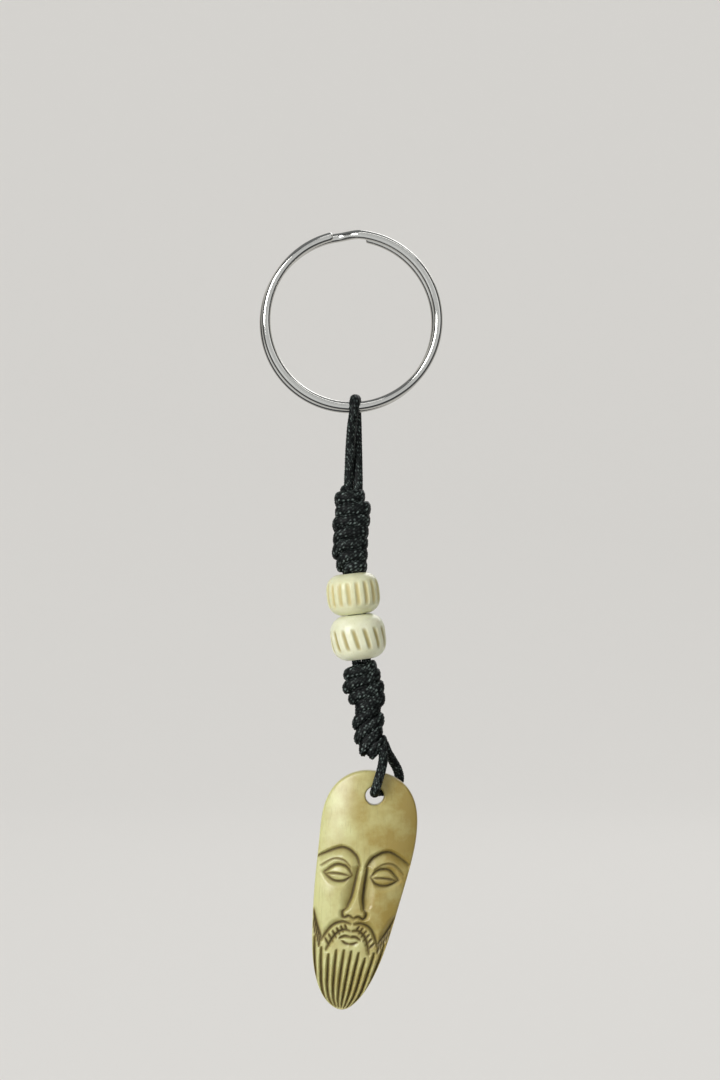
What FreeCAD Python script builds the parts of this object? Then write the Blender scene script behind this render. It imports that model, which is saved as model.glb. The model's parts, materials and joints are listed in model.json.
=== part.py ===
import FreeCAD, Part
import math
import os
import Sketcher

# A keychain: a split ring, a knotted nylon cord with two grooved bone beads, and a carved bone
# plaque that hangs at its end. The origin is at the centre of the split ring, +Z is up, the front
# faces -Y, and all sizes are in millimetres.

SIZES = [
    # split ring: two turns of round wire side by side
    ("ring_outer_dia", 30.0),
    ("ring_wire_dia", 1.5),
    ("ring_turn_gap", 0.05),
    ("ring_turn_shift", 0.25),
    ("ring_shift_angle", 45.0),
    ("ring_split_angle", 84.0),
    ("ring_jog_angle", 14.0),
    ("ring_end_gap_angle", 5.0),
    ("ring_end_round", 0.3),
    # cord, and the two heights at which its loops bend
    ("cord_dia", 1.5),
    ("cord_ring_gap", 0.16),
    ("loop_below_ring", 1.3),
    ("loop_swing_z", -22.0),
    ("loop_leg_middle_z", -24.2),
    ("plaque_loop_top_z", -72.7),
    ("leg_end_round", 0.6),
    ("leg_knot_gap", 0.3),
    # knots: the share of each turn's pitch that its cord fills
    ("knot_fill", 0.86),
    # upper knot
    ("upper_knot_top", -27.7),
    ("upper_knot_x", 0.15),
    ("upper_knot_lean", -1.0),
    ("upper_knot_length", 13.65),
    ("upper_knot_width", 6.2),
    ("upper_knot_depth", 4.9),
    ("upper_knot_turns", 6),
    ("upper_knot_slant", 7.0),
    ("upper_knot_taper", 0.0),
    # beads, strung on the two cords below the upper knot
    ("bead_lean", 6.8),
    ("bead_cord_spacing", 1.56),
    ("bead_cord_start", 0.22),
    ("bead_bore_dia", 3.4),
    ("bead_gap", 0.1),
    ("bead_knot_gap", 0.4),
    ("upper_bead_dia", 8.9),
    ("upper_bead_length", 6.8),
    ("upper_bead_face_dia", 6.1),
    ("upper_bead_grooves", 18),
    ("upper_groove_slant", 0.0),
    ("lower_bead_dia", 9.2),
    ("lower_bead_length", 7.4),
    ("lower_bead_face_dia", 6.2),
    ("lower_bead_grooves", 15),
    ("lower_groove_slant", 12.0),
    ("groove_width", 0.6),
    ("groove_depth", 0.38),
    # lower knot
    ("lower_knot_gap", 0.8),
    ("lower_knot_lean", 9.1),
    ("lower_knot_length", 15.3),
    ("lower_knot_width", 5.9),
    ("lower_knot_depth", 4.8),
    ("lower_knot_turns", 6),
    ("lower_knot_slant", 16.0),
    ("lower_knot_taper", 0.22),
    # plaque
    ("plaque_hole_x", 3.93),
    ("plaque_hole_z", -78.55),
    ("plaque_lean", 6.2),
    ("plaque_length", 40.0),
    ("plaque_width", 15.9),
    ("plaque_thickness", 4.2),
    ("plaque_blank_depth", 5.0),
    ("plaque_crown_z", 4.1),
    ("plaque_middle_x", -0.3),
    ("plaque_cross_radius", 15.0),
    ("plaque_long_radius", 150.0),
    ("plaque_crest", 13.0),
    ("plaque_edge_round", 0.6),
    ("plaque_hole_dia", 3.05),
    ("plaque_hole_round", 0.3),
    ("plaque_cord_gap", 0.2),
]

# the plaque's outline from its crown clockwise, as shares of half its width (across) and of its
# length (down from the crown)
PLAQUE_OUTLINE = [
    (-0.06, 0.000),
    (0.33, 0.012),
    (0.66, 0.048),
    (0.90, 0.118),
    (0.99, 0.205),
    (0.985, 0.300),
    (0.905, 0.415),
    (0.765, 0.570),
    (0.610, 0.725),
    (0.430, 0.845),
    (0.160, 0.950),
    (-0.170, 1.000),
    (-0.470, 0.975),
    (-0.720, 0.905),
    (-0.880, 0.800),
    (-0.965, 0.660),
    (-1.010, 0.480),
    (-1.015, 0.300),
    (-0.985, 0.165),
    (-0.800, 0.075),
    (-0.460, 0.018),
]
# the lowest point's place in that list
OUTLINE_FOOT = 11

doc = FreeCAD.newDocument("Keychain")
sheet = doc.addObject("Spreadsheet::Sheet", "Sizes")
for row, (alias, value) in enumerate(SIZES, start=1):
    sheet.set(f"A{row}", alias)
    sheet.set(f"B{row}", str(value))
    sheet.setAlias(f"B{row}", alias)
doc.recompute()

X_AXIS = FreeCAD.Vector(1, 0, 0)
Y_AXIS = FreeCAD.Vector(0, 1, 0)
Z_AXIS = FreeCAD.Vector(0, 0, 1)


def size(alias):
    """The sheet's value of that name."""
    return float(sheet.get(alias))


def finished(obj, label):
    """Names a sub-part, which is written to a file of that name."""
    obj.Label = label
    PARTS.append(obj)
    return obj


PARTS = []


# --- routes and tubes -----------------------------------------------------------------------


# the share of the shorter run beside a corner that its arc takes
ARC_SHARE = 0.45


def corner_radius(before, corner, after):
    """The largest arc that leaves most of both runs, and the angle that the route turns by."""
    come = corner - before
    leave = after - corner
    turn = come.getAngle(leave)
    shorter = min(come.Length, leave.Length)
    return ARC_SHARE * shorter / math.tan(turn / 2), turn


def corner_arc(before, corner, after, radius):
    """The arc of that radius which is tangent to both runs at a corner."""
    come = (before - corner).normalize()
    leave = (after - corner).normalize()
    half = come.getAngle(leave) / 2
    reach = radius / math.tan(half)
    middle_way = (come + leave).normalize()
    middle = corner + middle_way * (radius / math.sin(half) - radius)
    return Part.Arc(corner + come * reach, middle, corner + leave * reach)


def rounded_edges(name, points):
    """Straight runs joined by tangent arcs through a list of points."""
    edges = []
    start = points[0]
    radii = []
    for before, corner, after in zip(points, points[1:], points[2:]):
        radius, turn = corner_radius(before, corner, after)
        radii.append(f"{radius:.1f}")
        arc = corner_arc(before, corner, after, radius)
        edges.append(Part.LineSegment(start, arc.StartPoint).toShape())
        edges.append(arc.toShape())
        start = arc.EndPoint
    edges.append(Part.LineSegment(start, points[-1]).toShape())
    if radii:
        print(f"{name}: arc radii {', '.join(radii)} mm")
    return edges


def sweep(name, edges, diameter_name, share=1.0):
    """A round rod along a path, its diameter bound to the sheet."""
    path = doc.addObject("Part::Feature", f"{name}_path")
    path.Shape = Part.Wire(edges)
    first = path.Shape.OrderedEdges[0]
    tangent = first.tangentAt(first.FirstParameter)
    section = doc.addObject("Part::Circle", f"{name}_section")
    section.setExpression("Radius", f"Sizes.{diameter_name} * {share} / 2")
    start = path.Shape.OrderedVertexes[0].Point
    section.Placement = FreeCAD.Placement(start, FreeCAD.Rotation(Z_AXIS, tangent))
    rod = doc.addObject("Part::Sweep", f"{name}_rod")
    rod.Sections = [section]
    rod.Spine = (path, [])
    rod.Solid = True
    rod.Frenet = False
    doc.recompute()
    area = math.pi * (size(diameter_name) * share / 2) ** 2
    expected = area * path.Shape.Length
    print(f"{name}: {path.Shape.Length:.1f} mm long, volume over section x length "
          f"{rod.Shape.Volume / expected:.4f}")
    return rod


SAME_PLACE = 0.01


def rounded_ends(name, rod, points, radius_name):
    """The rod with the rims of its flat ends rounded at the given end points."""
    edges = []
    for number, edge in enumerate(rod.Shape.Edges, start=1):
        is_circle = isinstance(edge.Curve, Part.Circle)
        if is_circle and any(edge.Curve.Center.distanceToPoint(p) < SAME_PLACE for p in points):
            edges.append((number, size(radius_name), size(radius_name)))
    rounded = doc.addObject("Part::Fillet", f"{name}_rounded")
    rounded.Base = rod
    rounded.Edges = edges
    doc.recompute()
    return rounded


# --- split ring -----------------------------------------------------------------------------


def ring_radius():
    """The radius of the middle of the ring's wire."""
    return (size("ring_outer_dia") - size("ring_wire_dia")) / 2


def ring_pitch():
    """From the middle of one turn to the middle of the other, along Y."""
    return size("ring_wire_dia") + size("ring_turn_gap")


def ring_turn(side):
    """One turn's centre: the front turn has side -1, and the rear one +1."""
    shift = size("ring_turn_shift")
    angle = math.radians(size("ring_shift_angle"))
    across = -side * shift
    return FreeCAD.Vector(
        across * math.cos(angle), side * ring_pitch() / 2, across * math.sin(angle)
    )


def on_turn(side, degrees):
    """The point of a turn's wire at an angle from +X towards +Z."""
    angle = math.radians(degrees)
    around = FreeCAD.Vector(math.cos(angle), 0, math.sin(angle))
    return ring_turn(side) + around * ring_radius()


def turn_arc(side, begin, end):
    """A turn's wire as one arc."""
    middle = on_turn(side, (begin + end) / 2)
    return Part.Arc(on_turn(side, begin), middle, on_turn(side, end)).toShape()


# the share of the jog's length that leaves each turn along its own direction
JOG_LEAD = 0.25


def split_ring():
    """Two turns of wire joined by a short jog, with their free ends beside it."""
    split = size("ring_split_angle")
    jog = size("ring_jog_angle")
    gap = size("ring_end_gap_angle")
    turn = 360
    front_start = split + jog + gap
    front_end = split + turn
    rear_start = split + jog + turn
    rear_end = split - gap + 2 * turn
    leave = on_turn(-1, front_end)
    arrive = on_turn(1, rear_start)
    lead = ring_radius() * math.radians(jog) * JOG_LEAD
    start_way = math.radians(front_end)
    end_way = math.radians(rear_start)
    along_start = FreeCAD.Vector(-math.sin(start_way), 0, math.cos(start_way))
    along_end = FreeCAD.Vector(-math.sin(end_way), 0, math.cos(end_way))
    jog_points = [leave, leave + along_start * lead, arrive - along_end * lead, arrive]
    edges = [turn_arc(-1, front_start, front_end)]
    edges += rounded_edges("split_ring", jog_points)
    edges += [turn_arc(1, rear_start, rear_end)]
    rod = sweep("split_ring", edges, "ring_wire_dia")
    ends = [on_turn(-1, front_start), on_turn(1, rear_end)]
    finished(rounded_ends("split_ring", rod, ends, "ring_end_round"), "split_ring")


# --- cord loop over the ring ----------------------------------------------------------------

# The loop bends fore and aft about one line below the ring, so its cord is in two stretches: the
# bight over the ring with the upper ends of its legs, and the legs down to the knot. All of these
# are in cord diameters.
# across the ring at each corner of the bight, front to back
BIGHT_ACROSS = (-0.03, 0.17, 0.40, 0.57, 0.63, 0.70)
# the bight's ends: out from the middle, and up from the bending line
BIGHT_END = (0.70, 1.33)
# each leg's three corners downwards: across, and out from the middle
FRONT_LEG = ((-0.08, -0.47), (-0.19, -0.23), (-0.27, 0.0))
BACK_LEG = ((0.72, 0.47), (0.77, 0.23), (0.80, 0.0))
# the legs' upper ends, up from the bending line
LEG_START = 0.9


def loop_bight():
    """The cord over the ring's lowest point, front to back."""
    cord = size("cord_dia")
    gap = size("cord_ring_gap")
    half_ring = (ring_pitch() + size("ring_wire_dia")) / 2
    beside = half_ring + gap + cord / 2
    inner = ring_radius() - size("ring_wire_dia") / 2
    top = -(inner - size("ring_turn_shift") - gap - cord / 2)
    below = -(size("ring_outer_dia") / 2 + size("loop_below_ring"))
    end_out, end_up = BIGHT_END
    end_z = size("loop_swing_z") + end_up * cord
    end_y = end_out * cord
    front_and_up = [(-end_y, end_z), (-beside, below), (-beside, top)]
    back_and_down = [(beside, top), (beside, below), (end_y, end_z)]
    points = [
        FreeCAD.Vector(across * cord, y, z)
        for across, (y, z) in zip(BIGHT_ACROSS, front_and_up + back_and_down)
    ]
    rod = sweep("loop_bight", rounded_edges("loop_bight", points), "cord_dia")
    finished(rod, "loop_bight")


def loop_leg(side_name, corners):
    """One leg of the loop, from the bend down to the upper knot."""
    name = f"loop_leg_{side_name}"
    cord = size("cord_dia")
    heights = [
        size("loop_swing_z") + LEG_START * cord,
        size("loop_leg_middle_z"),
        size("upper_knot_top") + size("leg_knot_gap"),
    ]
    points = [
        FreeCAD.Vector(across * cord, out * cord, z) for (across, out), z in zip(corners, heights)
    ]
    rod = sweep(name, rounded_edges(name, points), "cord_dia")
    finished(rounded_ends(name, rod, points[:1], "leg_end_round"), name)


def loop_legs():
    """Both legs: front and back at the top, side by side at the knot."""
    loop_leg("front", FRONT_LEG)
    loop_leg("back", BACK_LEG)


# --- knots ----------------------------------------------------------------------------------


def stadium(frame, half_width, half_depth):
    """A closed outline, straight along X with a half circle at each end."""
    flat = half_width - half_depth
    corners = [
        FreeCAD.Vector(-flat, -half_depth, 0),
        FreeCAD.Vector(flat, -half_depth, 0),
        FreeCAD.Vector(flat, half_depth, 0),
        FreeCAD.Vector(-flat, half_depth, 0),
    ]
    right = FreeCAD.Vector(half_width, 0, 0)
    left = FreeCAD.Vector(-half_width, 0, 0)
    edges = [
        Part.LineSegment(corners[0], corners[1]).toShape(),
        Part.Arc(corners[1], right, corners[2]).toShape(),
        Part.LineSegment(corners[2], corners[3]).toShape(),
        Part.Arc(corners[3], left, corners[0]).toShape(),
    ]
    wire = Part.Wire(edges)
    wire.Placement = frame
    return wire


def knot(prefix, frame):
    """Turns of cord wound one under the other round the two cords inside them.

    frame stands at the middle of the knot's top, and its Z is the knot's axis. The taper is the
    share of its width that the knot has lost at its foot.
    """
    taper = size(f"{prefix}_taper")
    length = size(f"{prefix}_length")
    turns = int(size(f"{prefix}_turns"))
    pitch = length / turns
    rod_share = size("knot_fill") * pitch / size("cord_dia")
    rod_dia = rod_share * size("cord_dia")
    slant = FreeCAD.Rotation(Y_AXIS, -size(f"{prefix}_slant"))
    pieces = []
    for turn in range(turns):
        narrow = 1 - taper * turn / (turns - 1)
        half_width = (size(f"{prefix}_width") - rod_dia) * narrow / 2
        half_depth = (size(f"{prefix}_depth") - rod_dia) * narrow / 2
        down = FreeCAD.Vector(0, 0, -pitch * (turn + 0.5))
        tilted = frame.multiply(FreeCAD.Placement(down, slant))
        edges = stadium(tilted, half_width, half_depth).Edges
        pieces.append(sweep(f"{prefix}_turn_{turn + 1}", edges, "cord_dia", rod_share * narrow))
    core = doc.addObject("Part::Feature", f"{prefix}_core_outline")
    narrow = 1 - taper
    core.Shape = stadium(
        frame,
        (size(f"{prefix}_width") - rod_dia) * narrow / 2,
        (size(f"{prefix}_depth") - rod_dia) * narrow / 2,
    )
    inside = doc.addObject("Part::Extrusion", f"{prefix}_core")
    inside.Base = core
    inside.DirMode = "Custom"
    inside.Dir = frame.Rotation.multVec(-Z_AXIS)
    inside.setExpression("LengthFwd", f"Sizes.{prefix}_length")
    inside.Solid = True
    fused = doc.addObject("Part::MultiFuse", f"{prefix}_fused")
    fused.Shapes = [inside] + pieces
    fused.Refine = False
    doc.recompute()
    finished(fused, prefix)


def upper_knot_frame():
    """The upper knot's own frame: the middle of its top, and its lean."""
    top = FreeCAD.Vector(size("upper_knot_x"), 0, size("upper_knot_top"))
    return FreeCAD.Placement(top, FreeCAD.Rotation(Y_AXIS, -size("upper_knot_lean")))


def upper_knot():
    """The knot under the ring's loop."""
    knot("upper_knot", upper_knot_frame())


# --- beads ----------------------------------------------------------------------------------


def strand_start():
    """The middle of the upper knot's foot, where the beads' cords come out."""
    return upper_knot_frame().multVec(-Z_AXIS * size("upper_knot_length"))


def strand_turn():
    """The lean of the beads' cords: their lower end lies to the right."""
    return FreeCAD.Rotation(Y_AXIS, -size("bead_lean"))


def down_strand(distance):
    """The point at that distance down the beads' axis."""
    return strand_start() + strand_turn().multVec(-Z_AXIS) * distance


def strand_length():
    """From the upper knot's foot to the lower face of the lower bead."""
    return (
        size("bead_knot_gap")
        + size("upper_bead_length")
        + size("bead_gap")
        + size("lower_bead_length")
    )


def bead_cords():
    """The two cords that run through both beads, side by side."""
    across = strand_turn().multVec(X_AXIS) * (size("bead_cord_spacing") / 2)
    for side_name, side in (("left", -1), ("right", 1)):
        name = f"bead_cord_{side_name}"
        start = down_strand(size("bead_cord_start")) + across * side
        end = down_strand(strand_length()) + across * side
        finished(sweep(name, rounded_edges(name, [start, end]), "cord_dia"), name)


def in_body(body, type_name, name):
    """A new feature in a body."""
    return body.newObject(type_name, name)


def origin_feature(body, role):
    """One of a body's own origin planes or axes."""
    return next(f for f in body.Origin.OriginFeatures if f.Role == role)


def bead_profile(body, prefix):
    """Half of the bead's section: a barrel round a straight bore."""
    sketch = in_body(body, "Sketcher::SketchObject", f"{prefix}_profile")
    sketch.AttachmentSupport = [(origin_feature(body, "XZ_Plane"), "")]
    sketch.MapMode = "FlatFace"
    bore = size("bead_bore_dia") / 2
    face = size(f"{prefix}_face_dia") / 2
    belly = size(f"{prefix}_dia") / 2
    half = size(f"{prefix}_length") / 2
    corners = [
        FreeCAD.Vector(bore, -half, 0),
        FreeCAD.Vector(face, -half, 0),
        FreeCAD.Vector(face, half, 0),
        FreeCAD.Vector(bore, half, 0),
    ]
    sketch.addGeometry([
        Part.LineSegment(corners[0], corners[1]),
        Part.Arc(corners[1], FreeCAD.Vector(belly, 0, 0), corners[2]),
        Part.LineSegment(corners[2], corners[3]),
        Part.LineSegment(corners[3], corners[0]),
    ])
    arc_start, arc_end = 1, 2
    sketch.addConstraint([
        Sketcher.Constraint("Coincident", 0, 2, 1, arc_start),
        Sketcher.Constraint("Coincident", 1, arc_end, 2, 1),
        Sketcher.Constraint("Coincident", 2, 2, 3, 1),
        Sketcher.Constraint("Coincident", 3, 2, 0, 1),
        Sketcher.Constraint("Horizontal", 0),
        Sketcher.Constraint("Horizontal", 2),
        Sketcher.Constraint("Symmetric", 3, 1, 3, 2, -1),
        Sketcher.Constraint("Vertical", 0, 2, 2, 1),
    ])
    bound = {
        "bore": (Sketcher.Constraint("DistanceX", -1, 1, 0, 1, bore),
                 "Sizes.bead_bore_dia / 2"),
        "face": (Sketcher.Constraint("DistanceX", -1, 1, 0, 2, face),
                 f"Sizes.{prefix}_face_dia / 2"),
        "length": (Sketcher.Constraint("DistanceY", 0, 1, 3, 1, 2 * half),
                   f"Sizes.{prefix}_length"),
        "belly": (Sketcher.Constraint("Radius", 1, ((belly - face) ** 2 + half**2)
                                      / (2 * (belly - face))),
                  f"((Sizes.{prefix}_dia - Sizes.{prefix}_face_dia)^2 + Sizes.{prefix}_length^2)"
                  f" / (4 * (Sizes.{prefix}_dia - Sizes.{prefix}_face_dia))"),
    }
    for name, (constraint, expression) in bound.items():
        index = sketch.addConstraint(constraint)
        sketch.renameConstraint(index, name)
        sketch.setExpression(f"Constraints.{name}", expression)
    return sketch


# the share of a bead's length that its cutter passes over
GROOVE_SHARE = 0.9


def bead_groove(body, prefix, slant_name):
    """One straight V cut in the barrel, which fades out above and below its belly."""
    sketch = in_body(body, "Sketcher::SketchObject", f"{prefix}_groove_section")
    sketch.AttachmentSupport = [(origin_feature(body, "XY_Plane"), "")]
    sketch.MapMode = "FlatFace"
    sketch.AttachmentOffset = FreeCAD.Placement(
        FreeCAD.Vector(), FreeCAD.Rotation(X_AXIS, size(slant_name))
    )
    belly = size(f"{prefix}_dia") / 2
    floor = belly - size("groove_depth")
    outside = belly + size("groove_depth")
    half_width = size("groove_width")
    corners = [
        FreeCAD.Vector(floor, 0, 0),
        FreeCAD.Vector(outside, -half_width, 0),
        FreeCAD.Vector(outside, half_width, 0),
    ]
    sketch.addGeometry([
        Part.LineSegment(corners[0], corners[1]),
        Part.LineSegment(corners[1], corners[2]),
        Part.LineSegment(corners[2], corners[0]),
    ])
    groove = in_body(body, "PartDesign::Pocket", f"{prefix}_groove")
    groove.Profile = sketch
    groove.Midplane = True
    groove.setExpression("Length", f"Sizes.{prefix}_length * {GROOVE_SHARE}")
    return groove


def bead(prefix, middle, slant_name):
    """A bone bead turned to a barrel, with cuts all round its belly."""
    body = doc.addObject("PartDesign::Body", f"{prefix}_body")
    profile = bead_profile(body, prefix)
    turned = in_body(body, "PartDesign::Revolution", f"{prefix}_turned")
    turned.Profile = profile
    turned.ReferenceAxis = (profile, ["V_Axis"])
    turned.Angle = 360
    doc.recompute()
    plain = body.Shape.Volume
    groove = bead_groove(body, prefix, slant_name)
    doc.recompute()
    one_groove = plain - body.Shape.Volume
    pattern = in_body(body, "PartDesign::PolarPattern", f"{prefix}_pattern")
    pattern.Originals = [groove]
    pattern.Axis = (origin_feature(body, "Z_Axis"), [""])
    pattern.Angle = 360
    pattern.setExpression("Occurrences", f"Sizes.{prefix}_grooves")
    body.Tip = pattern
    body.Placement = FreeCAD.Placement(middle, strand_turn())
    doc.recompute()
    cut = plain - body.Shape.Volume
    print(f"{prefix}: one groove takes {one_groove:.3f} mm3, all of them {cut:.3f} mm3")
    finished(body, prefix)


def beads():
    """The two beads, one under the other."""
    first = size("bead_knot_gap") + size("upper_bead_length") / 2
    second = strand_length() - size("lower_bead_length") / 2
    bead("upper_bead", down_strand(first), "upper_groove_slant")
    bead("lower_bead", down_strand(second), "lower_groove_slant")


# --- lower knot and the plaque's cord -------------------------------------------------------


def lower_knot_turn():
    """The lower knot's lean, to the right at its foot."""
    return FreeCAD.Rotation(Y_AXIS, -size("lower_knot_lean"))


def lower_knot_top():
    """The middle of the lower knot's top."""
    down = lower_knot_turn().multVec(-Z_AXIS)
    return down_strand(strand_length()) + down * size("lower_knot_gap")


def lower_knot():
    """The knot under the beads, narrower at its foot."""
    knot("lower_knot", FreeCAD.Placement(lower_knot_top(), lower_knot_turn()))


# The plaque's loop from front to back, with its ends just above the line about which it tips
# fore and aft: across and up from the middle of the cord in the hole, in cord diameters, and the
# share of the way out from the plaque's middle to clear of its face.
PLAQUE_LOOP = [
    (0.95, 3.52, -0.21),
    (0.50, 2.52, -1.0),
    (-0.07, 0.0, -1.0),
    (0.13, 0.0, 1.0),
    (2.33, 0.20, 1.0),
    (2.87, 1.58, 1.0),
    (2.27, 2.72, 0.93),
    (1.55, 3.52, 0.21),
]


def hole_centre():
    """The middle of the plaque's hole."""
    return FreeCAD.Vector(size("plaque_hole_x"), 0, size("plaque_hole_z"))


def plaque_cord():
    """The cord's loop from the lower knot through the plaque's hole and back."""
    cord = size("cord_dia")
    clear = cord / 2 + size("plaque_cord_gap")
    through = hole_centre() + FreeCAD.Vector(0, 0, size("plaque_hole_dia") / 2 - clear)
    beside = size("plaque_thickness") / 2 + clear
    points = [
        through + FreeCAD.Vector(across * cord, out * beside, up * cord)
        for across, up, out in PLAQUE_LOOP
    ]
    for end in (points[0], points[-1]):
        end.z = size("plaque_loop_top_z")
    rod = sweep("plaque_cord", rounded_edges("plaque_cord", points), "cord_dia")
    ends = [points[0], points[-1]]
    finished(rounded_ends("plaque_cord", rod, ends, "leg_end_round"), "plaque_cord")


# --- plaque ---------------------------------------------------------------------------------


def plaque_frame():
    """The plaque's own frame: its hole's middle, leaning to the right at the top."""
    return FreeCAD.Placement(hole_centre(), FreeCAD.Rotation(Y_AXIS, size("plaque_lean")))


def plaque_outline():
    """A smooth closed outline in the plaque's frame, at its back face."""
    half_width = size("plaque_width") / 2
    length = size("plaque_length")
    back = size("plaque_thickness") / 2
    points = [
        FreeCAD.Vector(
            size("plaque_middle_x") + across * half_width, back, size("plaque_crown_z") - down * length
        )
        for across, down in PLAQUE_OUTLINE
    ]
    curve = Part.BSplineCurve()
    curve.interpolate(Points=points, PeriodicFlag=True)
    wire = Part.Wire([curve.toShape()])
    wire.Placement = plaque_frame()
    return wire


def dome_y(across, up):
    """The front face's place, fore and aft, at a point of the plaque's own frame."""
    cross = size("plaque_cross_radius")
    long = size("plaque_long_radius")
    from_middle = across - size("plaque_middle_x")
    ring = long - cross + math.sqrt(cross**2 - from_middle**2)
    from_crest = up + size("plaque_crest")
    return long - size("plaque_thickness") / 2 - math.sqrt(ring**2 - from_crest**2)


def plaque_blank():
    """The plate with its domed front, before the hole."""
    frame = plaque_frame()
    outline = doc.addObject("Part::Feature", "plaque_outline")
    outline.Shape = plaque_outline()
    blank = doc.addObject("Part::Extrusion", "plaque_blank")
    blank.Base = outline
    blank.DirMode = "Custom"
    blank.Dir = -Y_AXIS
    blank.setExpression("LengthFwd", "Sizes.plaque_blank_depth")
    blank.Solid = True
    dome = doc.addObject("Part::Torus", "plaque_dome")
    dome.setExpression("Radius1", "Sizes.plaque_long_radius - Sizes.plaque_cross_radius")
    dome.setExpression("Radius2", "Sizes.plaque_cross_radius")
    crest_y = -size("plaque_thickness") / 2
    middle = FreeCAD.Vector(
        size("plaque_middle_x"), crest_y + size("plaque_long_radius"), -size("plaque_crest")
    )
    local = FreeCAD.Placement(middle, FreeCAD.Rotation(Z_AXIS, X_AXIS))
    dome.Placement = frame.multiply(local)
    shaped = doc.addObject("Part::Common", "plaque_shaped")
    shaped.Base = blank
    shaped.Tool = dome
    return shaped


def softened_edges(bored):
    """The plate's rims and the hole's rims, with the radius that each is rubbed to."""
    edges = []
    longest_at_hole = 2 * size("plaque_hole_dia")
    for number, edge in enumerate(bored.Shape.Edges, start=1):
        box = edge.BoundBox
        joins_faces = box.YLength > size("plaque_thickness") / 2
        if joins_faces or edge.Length < size("plaque_edge_round"):
            continue
        if box.DiagonalLength > longest_at_hole:
            radius = size("plaque_edge_round")
        elif edge.Length > size("plaque_hole_dia"):
            radius = size("plaque_hole_round")
        else:
            continue
        edges.append((number, radius, radius))
    return edges


# The face's main cuts, as (start, middle, end, radius of the tool, depth). A point is the share
# of half the plaque's width there and the share of its length down from the crown. Each cut
# runs in and out of the surface at its ends, and is made on both halves of the face.
FACE_CUTS = [
    # brow, upper lid, side of the nose, top of the moustache
    ((0.10, 0.388), (0.46, 0.334), (0.88, 0.366), 0.8, 0.50),
    ((0.22, 0.434), (0.49, 0.402), (0.78, 0.436), 0.6, 0.42),
    ((0.10, 0.415), (0.125, 0.490), (0.20, 0.572), 0.8, 0.55),
    ((0.10, 0.634), (0.40, 0.644), (0.70, 0.706), 0.6, 0.42),
    # beard
    ((0.10, 0.755), (0.10, 0.860), (0.095, 0.965), 0.6, 0.42),
    ((0.32, 0.757), (0.315, 0.860), (0.30, 0.958), 0.6, 0.42),
    ((0.54, 0.772), (0.53, 0.858), (0.50, 0.940), 0.6, 0.40),
    ((0.75, 0.745), (0.74, 0.830), (0.71, 0.905), 0.6, 0.34),
]
# cuts that cross from one half of the face to the other: the nose's underside and the mouth
CROSSING_CUTS = [
    ((-0.24, 0.600), (0.0, 0.614), (0.24, 0.600), 0.5, 0.38),
    ((-0.26, 0.699), (0.0, 0.690), (0.26, 0.699), 0.5, 0.38),
]
# how deep a cut's tool stands at the cut's ends
CUT_RUN_OUT = 0.05


def edge_share(side, down):
    """The outline's place across the plaque at that share of its length, on one side."""
    outline = PLAQUE_OUTLINE[:OUTLINE_FOOT + 1]
    if side < 0:
        outline = PLAQUE_OUTLINE[:OUTLINE_FOOT - 1:-1]
    for (across, upper), (next_across, lower) in zip(outline, outline[1:]):
        if upper <= down <= lower:
            return across + (next_across - across) * (down - upper) / (lower - upper)
    raise SystemExit(f"the plaque's outline has no side at {down}")


def cut_point(share, down, radius, depth):
    """Where the middle of a round tool is when it cuts that deep at a point of the face."""
    half = size("plaque_width") / 2
    left = edge_share(-1, down) * half
    right = edge_share(1, down) * half
    across = size("plaque_middle_x") + (left + right) / 2 + share * (right - left) / 2
    up = size("plaque_crown_z") - down * size("plaque_length")
    return FreeCAD.Vector(across, dome_y(across, up) - radius + depth, up)


def face_cutter(number, side, cut):
    """The solid that one cut's round tool passes through."""
    start, middle, end, radius, depth = cut
    ends = [cut_point(side * share, down, radius, CUT_RUN_OUT) for share, down in (start, end)]
    deepest = cut_point(side * middle[0], middle[1], radius, depth)
    path = doc.addObject("Part::Feature", f"face_path_{number}")
    path.Shape = Part.Wire([Part.Arc(ends[0], deepest, ends[1]).toShape()])
    edge = path.Shape.Edges[0]
    section = doc.addObject("Part::Circle", f"face_section_{number}")
    section.Radius = radius
    tangent = edge.tangentAt(edge.FirstParameter)
    section.Placement = FreeCAD.Placement(ends[0], FreeCAD.Rotation(Z_AXIS, tangent))
    cutter = doc.addObject("Part::Sweep", f"face_cutter_{number}")
    cutter.Sections = [section]
    cutter.Spine = (path, [])
    cutter.Solid = True
    cutter.Placement = plaque_frame()
    return cutter


def carved(plate):
    """The plate with each of the face's cuts made in turn."""
    cuts = [(side, cut) for cut in FACE_CUTS for side in (-1, 1)]
    cuts += [(1, cut) for cut in CROSSING_CUTS]
    for number, (side, cut) in enumerate(cuts, start=1):
        step = doc.addObject("Part::Cut", f"face_cut_{number}")
        step.Base = plate
        step.Tool = face_cutter(number, side, cut)
        plate = step
    doc.recompute()
    return plate


def plaque():
    """A bone plate with a flat back, a domed front, a hole for the cord and a cut face."""
    hole = doc.addObject("Part::Cylinder", "plaque_hole")
    hole.setExpression("Radius", "Sizes.plaque_hole_dia / 2")
    hole.setExpression("Height", "Sizes.plaque_thickness * 2")
    start = hole_centre() - Y_AXIS * size("plaque_thickness")
    hole.Placement = FreeCAD.Placement(start, FreeCAD.Rotation(Z_AXIS, Y_AXIS))
    bored = doc.addObject("Part::Cut", "plaque_bored")
    bored.Base = plaque_blank()
    bored.Tool = hole
    doc.recompute()
    softened = doc.addObject("Part::Fillet", "plaque_softened")
    softened.Base = bored
    softened.Edges = softened_edges(bored)
    doc.recompute()
    face = carved(softened)
    taken = softened.Shape.Volume - face.Shape.Volume
    print(f"plaque: the face's cuts take {taken:.1f} mm3")
    finished(face, "plaque")


# --- assembly -------------------------------------------------------------------------------

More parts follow.
